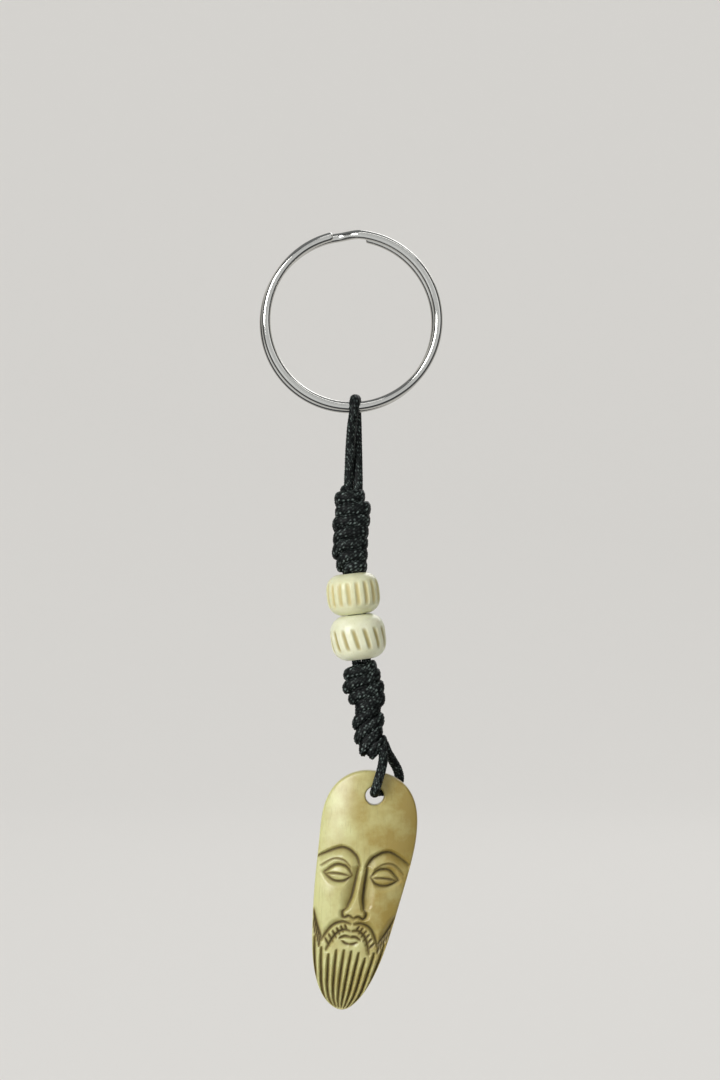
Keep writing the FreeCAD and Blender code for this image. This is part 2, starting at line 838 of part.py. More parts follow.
split_ring()
loop_bight()
loop_legs()
upper_knot()
bead_cords()
beads()
lower_knot()
plaque_cord()
plaque()
doc.recompute()

failed = [o.Name for o in doc.Objects if "Invalid" in o.State or "Error" in o.State]
if failed:
    raise SystemExit(f"these objects failed: {failed}")
for part in PARTS:
    if part.Shape.isNull() or not part.Shape.isValid() or part.Shape.Volume <= 0:
        raise SystemExit(f"{part.Label} has no valid shape")

os.makedirs("parts", exist_ok=True)
for part in PARTS:
    part.Shape.exportStep(f"parts/{part.Label}.step")
    solids = len(part.Shape.Solids)
    faces = len(part.Shape.Faces)
    print(f"{part.Label}: {solids} solid, {faces} faces, {part.Shape.Volume:.1f} mm3")
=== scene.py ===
import json
import math

import bpy
import numpy as np
from mathutils import Matrix, Vector


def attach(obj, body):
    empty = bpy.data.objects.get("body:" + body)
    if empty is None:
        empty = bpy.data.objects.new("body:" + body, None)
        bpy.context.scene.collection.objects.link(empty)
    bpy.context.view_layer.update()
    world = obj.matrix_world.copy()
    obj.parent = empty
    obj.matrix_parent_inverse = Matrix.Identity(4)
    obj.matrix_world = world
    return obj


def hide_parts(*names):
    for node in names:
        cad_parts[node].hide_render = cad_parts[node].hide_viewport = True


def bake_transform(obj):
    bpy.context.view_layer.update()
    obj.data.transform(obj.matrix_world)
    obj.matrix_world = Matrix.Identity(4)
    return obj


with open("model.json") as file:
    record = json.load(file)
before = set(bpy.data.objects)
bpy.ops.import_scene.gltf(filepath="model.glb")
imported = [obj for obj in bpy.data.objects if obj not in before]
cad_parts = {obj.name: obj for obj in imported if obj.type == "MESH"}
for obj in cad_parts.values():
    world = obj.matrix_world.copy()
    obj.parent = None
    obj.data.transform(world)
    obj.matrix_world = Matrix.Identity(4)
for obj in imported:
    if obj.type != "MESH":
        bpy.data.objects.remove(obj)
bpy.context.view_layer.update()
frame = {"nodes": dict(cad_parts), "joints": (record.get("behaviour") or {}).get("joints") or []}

# --- split ring -----------------------------------------------------------------------------
# A key ring of spring-steel wire, coiled to two turns a hair apart and nickel plated afterwards.
# The plating is bright and even, so the room shows in it as thin light and dark lines.

MM = 0.001
WIRE_DIA = 1.5 * MM
RING_RADIUS = 14.25 * MM
TURN_PITCH = 1.55 * MM
TURN_SHIFT = 0.25 * MM
SHIFT_ANGLE = math.radians(45)
# angles from +X towards +Z, in degrees
WIRE_START = 103
JOG_START = 444
JOG_END = 458
WIRE_END = 799
WIRE_END_ROUND = 0.4 * MM
WIRE_END_STEPS = (0.1, 0.3, 0.6)
WIRE_SEGMENTS = 48
NICKEL = "#C6C5C0"
NICKEL_HAZE_SIZE = 2.5 * MM
NICKEL_RUB_SIZE = 0.15 * MM


def linear(colour):
    """A linear RGBA colour from sRGB hex."""
    channels = [int(colour[i : i + 2], 16) / 255 for i in (1, 3, 5)]
    return (
        *[c / 12.92 if c <= 0.04045 else ((c + 0.055) / 1.055) ** 2.4 for c in channels],
        1.0,
    )


def add_node(tree, kind, inputs=None, **settings):
    """A shader node with its settings, and its inputs as values or as other nodes' outputs."""
    made = tree.nodes.new(kind)
    for name, value in settings.items():
        setattr(made, name, value)
    for socket, value in (inputs or {}).items():
        if isinstance(value, bpy.types.NodeSocket):
            tree.links.new(value, made.inputs[socket])
        else:
            made.inputs[socket].default_value = value
    return made


def new_material(name):
    """An empty material, its node tree and its surface shader."""
    material = bpy.data.materials.new(name)
    material.use_nodes = True
    tree = material.node_tree
    return material, tree, tree.nodes["Principled BSDF"]


def nickel_plated_steel():
    """Bright nickel with the faint haze and fine rubs of carried keys."""
    material, tree, surface = new_material("nickel_plated_spring_steel")
    place = add_node(tree, "ShaderNodeTexCoord").outputs["Object"]
    haze = add_node(
        tree, "ShaderNodeTexNoise", {"Vector": place, "Scale": 1 / NICKEL_HAZE_SIZE, "Detail": 3.0}
    )
    rubs = add_node(
        tree, "ShaderNodeTexNoise", {"Vector": place, "Scale": 1 / NICKEL_RUB_SIZE, "Detail": 2.0}
    )
    roughness = add_node(
        tree,
        "ShaderNodeMapRange",
        {
            "Value": haze.outputs["Fac"], "From Min": 0.3, "From Max": 0.7,
            "To Min": 0.07, "To Max": 0.15,
        },
    )
    relief = add_node(
        tree,
        "ShaderNodeBump",
        {"Height": rubs.outputs["Fac"], "Strength": 0.04, "Distance": 0.02 * MM},
    )
    surface.inputs["Base Color"].default_value = linear(NICKEL)
    surface.inputs["Metallic"].default_value = 1.0
    tree.links.new(roughness.outputs["Result"], surface.inputs["Roughness"])
    tree.links.new(relief.outputs["Normal"], surface.inputs["Normal"])
    return material


def mesh_piece(name, points, faces, material):
    """A smooth-shaded mesh object."""
    mesh = bpy.data.meshes.new(name)
    mesh.from_pydata(points.tolist(), [], faces)
    mesh.polygons.foreach_set("use_smooth", [True] * len(mesh.polygons))
    mesh.materials.append(material)
    piece = bpy.data.objects.new(name, mesh)
    bpy.context.scene.collection.objects.link(piece)
    return piece


def tube_faces(stations, segments):
    """The faces of a closed tube whose last two points are the middles of its ends."""
    row, column = np.meshgrid(np.arange(stations - 1), np.arange(segments), indexing="ij")
    beside = (column + 1) % segments
    quads = np.stack(
        [
            row * segments + column,
            row * segments + beside,
            (row + 1) * segments + beside,
            (row + 1) * segments + column,
        ],
        axis=-1,
    )
    faces = quads.reshape(-1, 4).tolist()
    last_row = (stations - 1) * segments
    start_middle = stations * segments
    for k in range(segments):
        after = (k + 1) % segments
        faces.append((start_middle, after, k))
        faces.append((start_middle + 1, last_row + k, last_row + after))
    return faces


def run_length(line):
    """The distance from the line's start to each of its points."""
    steps = np.linalg.norm(np.diff(line, axis=0), axis=1)
    return np.concatenate([[0.0], np.cumsum(steps)])


def end_taper(line, radius, rounding):
    """The share of its full section that a rod has at each point, with rounded ends."""
    run = run_length(line)
    inward = np.minimum(run, run[-1] - run)
    left = np.clip(1 - inward / rounding, 0, 1)
    return 1 - (rounding / radius) * (1 - np.sqrt(1 - left**2))


def rod_frame(line, outward):
    """For each point of a line, the directions to the rod's side and away from what it lies on."""
    along = np.gradient(line, axis=0)
    along /= np.linalg.norm(along, axis=1, keepdims=True)
    away = outward - along * np.sum(outward * along, axis=1, keepdims=True)
    away /= np.linalg.norm(away, axis=1, keepdims=True)
    return np.cross(along, away), away


def rod(name, line, outward, half_wide, half_thick, segments, material, relief=0.0):
    """A rod of round or flattened section along a line, with a height added to its surface."""
    side, away = rod_frame(line, outward)
    around = np.linspace(0, 2 * math.pi, segments, endpoint=False)[None, :, None]
    wide = half_wide[:, None, None]
    thick = half_thick[:, None, None]
    across = side[:, None, :]
    up = away[:, None, :]
    skin = line[:, None, :] + across * wide * np.cos(around) + up * thick * np.sin(around)
    if np.ndim(relief):
        normal = across * thick * np.cos(around) + up * wide * np.sin(around)
        normal /= np.linalg.norm(normal, axis=2, keepdims=True)
        skin = skin + normal * relief[:, :, None]
    points = np.concatenate([skin.reshape(-1, 3), line[:1], line[-1:]])
    return mesh_piece(name, points, tube_faces(len(line), segments), material)


def ring_line():
    """The middle of the wire: a front turn, a short jog, and a rear turn."""
    near_ends = [WIRE_START + step for step in WIRE_END_STEPS]
    near_ends += [WIRE_END - step for step in WIRE_END_STEPS]
    degrees = np.union1d(np.arange(WIRE_START, WIRE_END + 1, 1.0), near_ends)
    share = np.clip((degrees - JOG_START) / (JOG_END - JOG_START), 0, 1)
    rear = share * share * (3 - 2 * share)
    side = 2 * rear - 1
    angle = np.radians(degrees)
    return np.column_stack(
        [
            RING_RADIUS * np.cos(angle) - side * TURN_SHIFT * math.cos(SHIFT_ANGLE),
            side * TURN_PITCH / 2,
            RING_RADIUS * np.sin(angle) - side * TURN_SHIFT * math.sin(SHIFT_ANGLE),
        ]
    )


wire = ring_line()
wire_section = WIRE_DIA / 2 * end_taper(wire, WIRE_DIA / 2, WIRE_END_ROUND)
ring = rod(
    "nickel_ring_wire", wire, wire * (1, 0, 1), wire_section, wire_section, WIRE_SEGMENTS,
    nickel_plated_steel(),
)
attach(ring, "ring")
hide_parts("split_ring")

# --- loop over the ring ---------------------------------------------------------------------
# One length of round nylon cord, braided from twenty yarns and dyed black, makes the whole
# strap. Its middle is folded over the ring, and both legs run down into the upper knot. Each
# yarn stands up as a short float, and a painted sheen on the floats' crowns gives rows of flecks.

CORD_DIA = 1.5 * MM
YARNS_EACH_WAY = 10
BRAID_LAY = 6.6 * MM
FLOAT_HEIGHT = 0.18 * MM
CORD_STEP = 0.11 * MM
CORD_SEGMENTS = 40
CORD_END_ROUND = 0.5 * MM
# painted shade: the hollows between the floats are coloured darker than the floats' crowns
NYLON_PAINTED_HOLLOW_SHADE = "#010202"
NYLON_DULL = "#050808"
# a painted sheen: the lighter grey put on the floats' crowns in place of highlights
NYLON_PAINTED_SHEEN = "#798782"
NYLON_FIBRE_SIZE = 0.12 * MM
# how far the rows of floats stray, in yarns, and how quickly along and around the cord
STRAY_SLOW, STRAY_SLOW_ALONG = 0.16, 2.3
STRAY_QUICK, STRAY_QUICK_ALONG, STRAY_QUICK_AROUND = 0.1, 5.9, 1.3
# the height of a float's ends as a share of its crown's, and the share sunk in the cord
FLOAT_ENDS = 0.35
FLOAT_SUNK = 0.6
# the painted sheen of each lay's floats: the lit lay's least and its fall-off, the dark lay's most
# and its fall-off
LIT_LEAST, LIT_POWER = 0.05, 1.9
DARK_MOST, DARK_POWER = 0.5, 4
# the streak of painted sheen on a float: its width, and how quickly and where it starts along the
# float
STREAK_WIDTH = 0.7
STREAK_GAIN, STREAK_START = 2.4, 0.5
# factors that scatter the painted sheen from float to float, in the same way in every run
SCATTER = (12.9898, 78.233, 43758.5453)
# the fold is pressed flat by this share above this height, coming on over this distance, in mm
PRESSED = 0.14
PRESSED_ABOVE = -15.5
PRESSED_OVER = 2
RING_LOOP_ROUTE = [
    (-0.35, 0.0, -29.0),
    (-0.40, 0.0, -27.2),
    (-0.28, -0.35, -24.2),
    (-0.12, -0.75, -20.65),
    (0.15, -1.9, -17.2),
    (0.5, -2.55, -15.0),
    (0.65, -2.2, -12.75),
    (0.85, 2.2, -12.75),
    (0.92, 2.55, -15.0),
    (1.0, 1.9, -17.2),
    (1.08, 0.75, -20.65),
    (1.15, 0.35, -24.2),
    (1.20, 0.0, -27.2),
    (1.15, 0.0, -29.0),
]


def black_braided_nylon():
    """Black nylon yarn: painted shade between the floats and a painted sheen along their crowns."""
    material, tree, surface = new_material("black_braided_nylon")
    place = add_node(tree, "ShaderNodeTexCoord").outputs["Object"]
    height = add_node(tree, "ShaderNodeAttribute", attribute_name="float_height").outputs["Fac"]
    sheen = add_node(tree, "ShaderNodeAttribute", attribute_name="float_painted_sheen").outputs["Fac"]
    fibres = add_node(
        tree, "ShaderNodeTexNoise", {"Vector": place, "Scale": 1 / NYLON_FIBRE_SIZE, "Detail": 2.0}
    )
    # painted shade in the hollows, by each point's float height
    yarn = add_node(
        tree,
        "ShaderNodeMix",
        {0: height, 6: linear(NYLON_PAINTED_HOLLOW_SHADE), 7: linear(NYLON_DULL)},
        data_type="RGBA",
    )
    # the painted sheen on the floats' crowns is mixed into the base colour
    colour = add_node(
        tree,
        "ShaderNodeMix",
        {0: sheen, 6: yarn.outputs[2], 7: linear(NYLON_PAINTED_SHEEN)},
        data_type="RGBA",
    )
    roughness = add_node(
        tree,
        "ShaderNodeMapRange",
        {"Value": sheen, "From Min": 0.1, "From Max": 0.7, "To Min": 0.5, "To Max": 0.25},
    )
    relief = add_node(
        tree,
        "ShaderNodeBump",
        {"Height": fibres.outputs["Fac"], "Strength": 0.25, "Distance": 0.03 * MM},
    )
    tree.links.new(colour.outputs[2], surface.inputs["Base Color"])
    tree.links.new(roughness.outputs["Result"], surface.inputs["Roughness"])
    tree.links.new(relief.outputs["Normal"], surface.inputs["Normal"])
    surface.inputs["IOR"].default_value = 1.53
    surface.inputs["Specular IOR Level"].default_value = 0.12
    return material


def even_steps(line, step):
    """The same line with its points at even distances."""
    run = run_length(line)
    stations = np.linspace(0, run[-1], int(run[-1] / step) + 1)
    return np.column_stack([np.interp(stations, run, line[:, axis]) for axis in range(3)])


def laid_line(name, route):
    """The smooth line that a cord takes along a route's points, read from its spline."""
    curve = bpy.data.curves.new(name, "CURVE")
    curve.dimensions = "3D"
    curve.resolution_u = 40
    spline = curve.splines.new("NURBS")
    spline.points.add(len(route) - 1)
    for point, place in zip(spline.points, route):
        point.co = (*(Vector(place) * MM), 1.0)
    spline.order_u = 3
    spline.use_endpoint_u = True
    carrier = bpy.data.objects.new(name, curve)
    mesh = bpy.data.meshes.new_from_object(carrier)
    line = np.array([vertex.co for vertex in mesh.vertices], float)
    bpy.data.objects.remove(carrier)
    bpy.data.meshes.remove(mesh)
    return even_steps(line, CORD_STEP)


def braid_floats(line):
    """How far the braid's floats stand up over a cord's skin, and the painted sheen on them, 0 to 1.

    Yarns wind both ways at an even slope. At each crossing one yarn floats over the other. The
    crowns of one lay's floats get a painted sheen, more or less from float to float, and the other
    lay's mostly stay dark.
    """
    around = np.arange(CORD_SEGMENTS)[None, :] / CORD_SEGMENTS * YARNS_EACH_WAY
    along = run_length(line)[:, None] / BRAID_LAY * YARNS_EACH_WAY
    wander = STRAY_SLOW * np.sin(along * STRAY_SLOW_ALONG) + STRAY_QUICK * np.sin(
        along * STRAY_QUICK_ALONG + around * STRAY_QUICK_AROUND
    )
    one_way = around - along + wander
    other_way = around + along + wander
    one_on_top = (np.floor(one_way) + np.floor(other_way)) % 2 < 1
    across = np.where(one_on_top, one_way, other_way) % 1
    lengthways = np.where(one_on_top, other_way, one_way) % 1
    crown = np.sqrt(np.clip(1 - (2 * across - 1) ** 2, 0, 1))
    arch = np.sin(math.pi * lengthways)
    height = crown * (FLOAT_ENDS + (1 - FLOAT_ENDS) * arch)
    one_factor, other_factor, spread = SCATTER
    lie = np.sin(np.floor(one_way) * one_factor + np.floor(other_way) * other_factor) * spread % 1
    lit = LIT_LEAST + (1 - LIT_LEAST) * lie**LIT_POWER
    brightness = np.where(one_on_top, lit, DARK_MOST * lie**DARK_POWER)
    streak = np.clip(1 - ((2 * across - 1) / STREAK_WIDTH) ** 2, 0, 1)
    streak = streak * np.clip(arch * STREAK_GAIN - STREAK_START, 0, 1)
    return height, np.clip(brightness, 0, 1) * streak


def braided_cord(name, line, outward, wide=1.0, thick=1.0, painted_sheen_share=1.0):
    """A braided cord along a line. wide and thick flatten it where it is pressed, and a lower sheen
    share dims its painted sheen as painted shade.
    """
    height, sheen = braid_floats(line)
    taper = end_taper(line, CORD_DIA / 2, CORD_END_ROUND)
    body = (CORD_DIA / 2 - FLOAT_HEIGHT * FLOAT_SUNK) * taper
    piece = rod(
        name, line, outward, body * wide, body * thick, CORD_SEGMENTS, CORD_MATERIAL,
        relief=height * FLOAT_HEIGHT * taper[:, None],
    )
    # the floats' heights carry the painted shade between them, and the sheen share the painted sheen
    # on their crowns
    for label, values in (("float_height", height), ("float_painted_sheen", sheen * painted_sheen_share)):
        attribute = piece.data.attributes.new(label, "FLOAT", "POINT")
        attribute.data.foreach_set("value", np.append(values.ravel(), [0, 0]).astype(np.float32))
    return piece


def ring_loop():
    """The fold over the ring, pressed flat where it bears on the wire."""
    line = laid_line("ring_loop_route", RING_LOOP_ROUTE)
    outward = np.tile((0.05, -1.0, 0.02), (len(line), 1))
    over_ring = np.clip((line[:, 2] / MM - PRESSED_ABOVE) / PRESSED_OVER, 0, 1)[:, None]
    from_wire = (line - (0, 0, -RING_RADIUS)) / MM
    outward = outward * (1 - over_ring) + from_wire * (0, 1, 1) * over_ring
    pressed = over_ring[:, 0]
    return braided_cord(
        "ring_loop_cord", line, outward,
        wide=1 + PRESSED * pressed, thick=1 - PRESSED * pressed,
    )


CORD_MATERIAL = black_braided_nylon()
loop = ring_loop()
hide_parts("loop_bight", "loop_leg_front", "loop_leg_back")
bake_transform(loop)

# --- upper knot -----------------------------------------------------------------------------
# The cord's two free ends are wound down over the legs, turn under turn, and pulled tight. The
# soft braid flattens in each turn and rolls over steeply at the left edge.

UPPER_LEFT = [
    (-1.15, -27.9), (-2.05, -29.3), (-1.95, -31.6), (-2.4, -33.6), (-2.3, -36.3), (-2.45, -38.5),
    (-1.75, -40.6), (-0.9, -41.4),
]
UPPER_RIGHT = [
    (1.75, -29.0), (2.7, -31.0), (2.6, -32.9), (2.35, -34.8), (2.25, -36.7), (2.2, -38.6),
    (2.1, -40.5),
]
UPPER_TUCK = [(0.2, 0.8, -28.3), (0.3, -0.4, -41.2)]
KNOT_HALF_DEPTH = 1.75 * MM
TURN_STEPS = 24
TURN_SQUARENESS = 0.8
TUCK_STEPS = 6
SMOOTH_POINTS = 11
# how wide and thick a pressed turn is, how much wider it gets on the right, over what distance,
# and what share of that it loses in thickness
FLAT_WIDE = 1.34
FLAT_THICK = 0.9
FLAT_MORE = 0.35
FLAT_MORE_REACH = 1.4 * MM
FLAT_THINNING = 0.4
# how much more a turn faces fore and aft than sideways
FACING_DEPTH = 1.6
# the inner turns: their share of the outer ones' reach, and of their painted sheen, kept low as
# painted shade
INNER_REACH = 0.74
INNER_PAINTED_SHEEN = 0.15


def half_turn(start, end, front, half_depth, roll):
    """Half a turn of cord between a left and a right bump, across the front or the back."""
    points = []
    for step in range(TURN_STEPS):
        share = step / TURN_STEPS
        angle = math.pi * share
        swing = math.copysign(abs(math.cos(angle)) ** TURN_SQUARENESS, math.cos(angle))
        depth = abs(math.sin(angle)) ** TURN_SQUARENESS * half_depth
        fall = share**roll if front else 1 - (1 - share) ** roll
        middle = (start[0] + end[0]) / 2
        reach = (start[0] - end[0]) / 2
        points.append(
            (
                (middle + reach * swing) * MM,
                -depth if front else depth,
                (start[1] + (end[1] - start[1]) * fall) * MM,
            )
        )
    return points


def smoothed(line):
    """The line with its corners worn off over about a millimetre."""
    kernel = np.hanning(SMOOTH_POINTS + 2)[1:-1]
    beyond = SMOOTH_POINTS // 2
    padded = np.pad(line, ((beyond, beyond), (0, 0)), mode="edge")
    return np.column_stack(
        [np.convolve(padded[:, axis], kernel / kernel.sum(), mode="valid") for axis in range(3)]
    )


def wound_line(left, right, tuck, half_depth, roll, taper):
    """The line of a cord wound down through left and right bumps, its ends tucked inside."""
    first = Vector((left[0][0] * MM, 0, left[0][1] * MM))
    last = Vector((left[-1][0] * MM, 0, left[-1][1] * MM))
    points = [
        tuple(first.lerp(Vector(tuck[0]) * MM, 1 - k / TUCK_STEPS)) for k in range(TUCK_STEPS)
    ]
    for turn, bump in enumerate(right):
        reach = half_depth * (1 - taper * (turn + 1) / len(right))
        points += half_turn(left[turn], bump, False, reach, roll)
        points += half_turn(bump, left[turn + 1], True, reach, roll)
    points += [
        tuple(last.lerp(Vector(tuck[1]) * MM, k / TUCK_STEPS)) for k in range(1, TUCK_STEPS + 1)
    ]
    return smoothed(even_steps(np.array(points), CORD_STEP))


def wrapping(name, left, right, tuck, half_depth, roll, taper, painted_sheen_share=1.0):
    """A knot's turns as one flattened cord."""
    line = wound_line(left, right, tuck, half_depth, roll, taper)
    levels = [z * MM for x, z in left]
    middles = [
        (bump[0] + right[min(k, len(right) - 1)][0]) / 2 * MM for k, bump in enumerate(left)
    ]
    axis_x = np.interp(line[:, 2], levels[::-1], middles[::-1])
    nudge = 0.01 * MM
    outward = np.column_stack(
        [line[:, 0] - axis_x + nudge, line[:, 1] * FACING_DEPTH - nudge, np.zeros(len(line))]
    )
    rightness = np.clip((line[:, 0] - axis_x) / FLAT_MORE_REACH, 0, 1)
    return braided_cord(
        name, line, outward,
        wide=FLAT_WIDE + FLAT_MORE * rightness,
        thick=FLAT_THICK - FLAT_MORE * FLAT_THINNING * rightness,
        painted_sheen_share=painted_sheen_share,
    )


def between(bumps, others):
    """Bumps half a turn on from the given ones, drawn in towards the knot's core."""
    made = []
    for (x, z), (next_x, next_z), (other_x, _) in zip(bumps, bumps[1:], others):
        middle = (x + next_x) / 2
        core = (middle + other_x) / 2
        made.append((core + (middle - core) * INNER_REACH, (z + next_z) / 2))
    return made


def knot(name, body, left, right, tuck, roll, taper):
    """A knot's outer turns, and the inner ones that show between them, kept dark by painted shade.
    """
    outer = wrapping(f"{name}_cord", left, right, tuck, KNOT_HALF_DEPTH, roll, taper)
    inner_left = between(left, right)
    inner_right = between(right, left[1:])
    # the inner turns get little painted sheen, as painted shade between the outer ones
    inner = wrapping(
        f"{name}_inner_cord", inner_left, inner_right, tuck,
        KNOT_HALF_DEPTH * INNER_REACH, roll, taper, INNER_PAINTED_SHEEN,
    )
    for turns in (outer, inner):
        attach(turns, body)
        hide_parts(name)


knot("upper_knot", "upper_strand", UPPER_LEFT, UPPER_RIGHT, UPPER_TUCK, roll=4.0, taper=0.0)

# --- standing cords -------------------------------------------------------------------------
# The two legs of the cord run on side by side inside the upper knot, through both beads and
# into the lower knot. They show only in the gaps.

STANDING_ROUTES = {
    "left": [
        (-0.35, 0, -28.6), (-0.5, 0, -33), (-0.55, 0, -40), (-0.41, 0, -43), (0.6, 0, -51.5),
        (0.95, 0, -57), (1.6, 0, -62), (2.9, 0, -69.5),
    ],
    "right": [
        (0.95, 0, -28.6), (1.0, 0, -33), (0.95, 0, -40), (1.13, 0, -43), (2.15, 0, -51.5),
        (2.6, 0, -57), (3.2, 0, -62), (4.4, 0, -69.5),
    ],
}

for side, route in STANDING_ROUTES.items():
    line = laid_line(f"standing_{side}_route", route)
    standing = braided_cord(
        f"standing_cord_{side}", line, np.tile((0.0, -1.0, 0.0), (len(line), 1))
    )
    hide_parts(f"bead_cord_{side}")
    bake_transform(standing)

# --- bone beads -----------------------------------------------------------------------------
# Two barrel beads turned from bleached cattle bone, drilled, and filed with short flutes round
# the belly. Polish brightens the lands, and an ochre wash stays in the flutes.

BORE_RADIUS = 1.7 * MM
BEAD_SEGMENTS = 360
BEAD_ROWS = 72
FACE_ROWS = 8
LIP_ROWS = 6
LIP_INSET = 0.1 * MM
LIP_STEP = 0.02 * MM
BEADS = {
    "upper": {
        "node": "upper_bead", "body": "first_bead", "joint": "first_bead_spin",
        "radius": 4.45, "face": 2.35, "length": 6.8, "flutes": 18, "slant": 0.0,
        "flute_middle": 0.0, "flute_share": 0.62,
        "pale": "#E0E1BE", "warm": "#D3D2A4", "wash": "#C6B87E",
    },
    "lower": {
        "node": "lower_bead", "body": "second_bead", "joint": "second_bead_spin",
        "radius": 4.6, "face": 2.4, "length": 7.4, "flutes": 15, "slant": 12.0,
        "flute_middle": -0.35, "flute_share": 0.52,
        "pale": "#E8E9CE", "warm": "#DBDCB8", "wash": "#A89B62",
    },
}
FLUTE_FADE = 0.45
FLUTE_HALF_WIDTH = 0.48 * MM
FLUTE_DEPTH = 0.2 * MM
BARREL_FULLNESS = 2.9


def bone(name, pale, warm, wash, deep, grain_turn, mottle_size, gloss, patina_and_shade=0.0):
    """Worked bone: mottled, with fine long pores, and darker towards +X, partly as a warm stain from
    handling and partly as painted shade on the side away from the key lamp.

    A wash clings to the sides of the cuts, up to a cut_depth of a half, and a deeper stain fills
    their bottoms.
    """
    material, tree, surface = new_material(name)
    place = add_node(tree, "ShaderNodeTexCoord").outputs["Object"]
    mottle = add_node(
        tree,
        "ShaderNodeTexNoise",
        {"Vector": place, "Scale": 1 / mottle_size, "Detail": 4.0, "Roughness": 0.6},
    )
    side = add_node(tree, "ShaderNodeSeparateXYZ", {"Vector": place}).outputs["X"]
    # darker towards +X: partly a warm handling stain, partly painted shade on the side away from the
    # key lamp
    handled_and_shaded = add_node(
        tree,
        "ShaderNodeMath",
        {0: side, 1: patina_and_shade / MM, 2: mottle.outputs["Fac"]},
        operation="MULTIPLY_ADD",
    ).outputs["Value"]
    mottled = add_node(
        tree, "ShaderNodeMapRange", {"Value": handled_and_shaded, "From Min": 0.32, "From Max": 0.8}
    )
    turned = add_node(
        tree,
        "ShaderNodeMapping",
        {
            "Vector": place,
            "Rotation": (0, grain_turn, 0),
            "Scale": (1 / (0.22 * MM), 1 / (0.22 * MM), 1 / (3.5 * MM)),
        },
    )
    pores = add_node(
        tree, "ShaderNodeTexNoise", {"Vector": turned.outputs["Vector"], "Scale": 1.0, "Detail": 3.0}
    )
    pored = add_node(
        tree,
        "ShaderNodeMapRange",
        {"Value": pores.outputs["Fac"], "From Min": 0.58, "From Max": 0.78, "To Max": 0.3},
    )
    cut = add_node(tree, "ShaderNodeAttribute", attribute_name="cut_depth").outputs["Fac"]
    ground = add_node(
        tree,
        "ShaderNodeMix",
        {0: mottled.outputs["Result"], 6: linear(pale), 7: linear(warm)},
        data_type="RGBA",
    )
    grained = add_node(
        tree,
        "ShaderNodeMix",
        {0: pored.outputs["Result"], 6: ground.outputs[2], 7: linear(wash)},
        data_type="RGBA",
    )
    on_sides = add_node(tree, "ShaderNodeMapRange", {"Value": cut, "From Max": 0.5})
    in_bottom = add_node(tree, "ShaderNodeMapRange", {"Value": cut, "From Min": 0.5})
    washed = add_node(
        tree,
        "ShaderNodeMix",
        {0: on_sides.outputs["Result"], 6: grained.outputs[2], 7: linear(wash)},
        data_type="RGBA",
    )
    stained = add_node(
        tree,
        "ShaderNodeMix",
        {0: in_bottom.outputs["Result"], 6: washed.outputs[2], 7: linear(deep)},
        data_type="RGBA",
    )
    roughness = add_node(
        tree,
        "ShaderNodeMapRange",
        {"Value": cut, "To Min": gloss, "To Max": 0.7},
    )
    relief = add_node(
        tree,
        "ShaderNodeBump",
        {"Height": pores.outputs["Fac"], "Strength": 0.12, "Distance": 0.03 * MM},
    )
    tree.links.new(stained.outputs[2], surface.inputs["Base Color"])
    tree.links.new(roughness.outputs["Result"], surface.inputs["Roughness"])
    tree.links.new(relief.outputs["Normal"], surface.inputs["Normal"])
    surface.inputs["IOR"].default_value = 1.54
    surface.inputs["Subsurface Weight"].default_value = 0.12
    surface.inputs["Subsurface Radius"].default_value = (1.0, 0.75, 0.45)
    surface.inputs["Subsurface Scale"].default_value = 0.8 * MM
    return material


def bead_outline(bead):
    """The bead's section round its skin and bore: the radius and the height of each row."""
    half = bead["length"] / 2 * MM
    face = bead["face"] * MM
    belly = bead["radius"] * MM
    past_face = (1 - (face / belly) ** BARREL_FULLNESS) ** (1 / BARREL_FULLNESS)
    turn = np.linspace(-1, 1, BEAD_ROWS)
    share = np.sin(turn * math.pi / 2) * past_face
    height = -share / past_face * half
    barrel = belly * (1 - np.abs(share) ** BARREL_FULLNESS) ** (1 / BARREL_FULLNESS)
    inside = np.linspace(BORE_RADIUS, barrel[0], FACE_ROWS)[:-1]
    bore_lip = np.linspace(half - LIP_INSET, -half + LIP_INSET, LIP_ROWS)
    bore = np.full(LIP_ROWS, BORE_RADIUS - LIP_STEP)
    radius = np.concatenate([inside, barrel, inside[::-1], bore])
    level = np.full(FACE_ROWS - 1, half)
    heights = np.concatenate([level, height, -level, bore_lip[::-1]])
    return radius, heights


